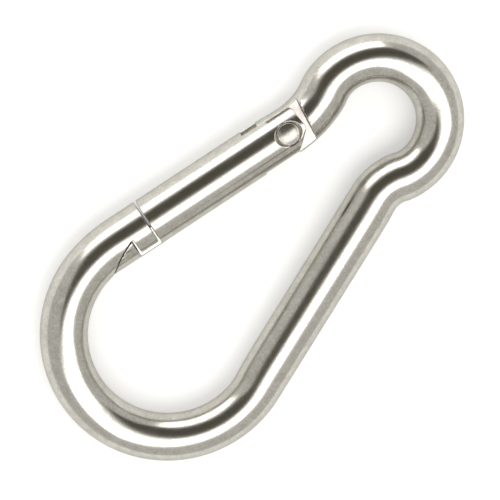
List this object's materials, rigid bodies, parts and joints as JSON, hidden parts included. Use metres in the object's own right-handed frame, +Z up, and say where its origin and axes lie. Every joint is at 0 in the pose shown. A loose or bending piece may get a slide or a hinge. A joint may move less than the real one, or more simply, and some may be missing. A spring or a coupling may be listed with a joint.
{
  "type": "spring snap hook",
  "caption": "Pear-shaped snap hook bent from round bar, with a small eye, a large bow and a sprung gate that opens inward on a rivet and latches with a T-shaped nose.",
  "frame": {"origin": "under the middle of the hook, on the surface that it lies on", "axes": "+Z up, square to the plane of the hook; +Y along the load line from the bow to the eye; gate on the -X side, spine on the +X side"},
  "size_m": [0.0402, 0.08, 0.0078],
  "materials": {
    "satin_stainless": "electropolished satin over drawn bar",
    "rivet_steel": "peened and tumbled",
    "plunger_steel": "turned",
    "spring_wire": "drawn wire"
  },
  "bodies": {
    "hook": {"hook_body": "satin_stainless"},
    "gate": {"gate": "satin_stainless", "hinge_rivet": "rivet_steel", "closing_spring": "spring_wire"},
    "plunger": {"plunger": "plunger_steel"}
  },
  "joints": [
    {"name": "gate_hinge", "type": "hinge", "parent": "hook", "child": "gate", "pos_m": [-0.00904, 0.01531, 0.0039], "axis": [0, 0, 1], "range_deg": [0, 40], "stiffness_Nm_per_rad": 0.15, "springref_deg": -45.84},
    {"name": "plunger_slide", "type": "slide", "parent": "gate", "child": "plunger", "axis": [-0.2164, -0.9763, 0], "range_m": [0, 0.00114], "deforming": ["closing_spring"]}
  ],
  "couplings": [
    {"joint": "plunger_slide", "follows": "gate_hinge", "m_per_rad": 0.0016}
  ]
}
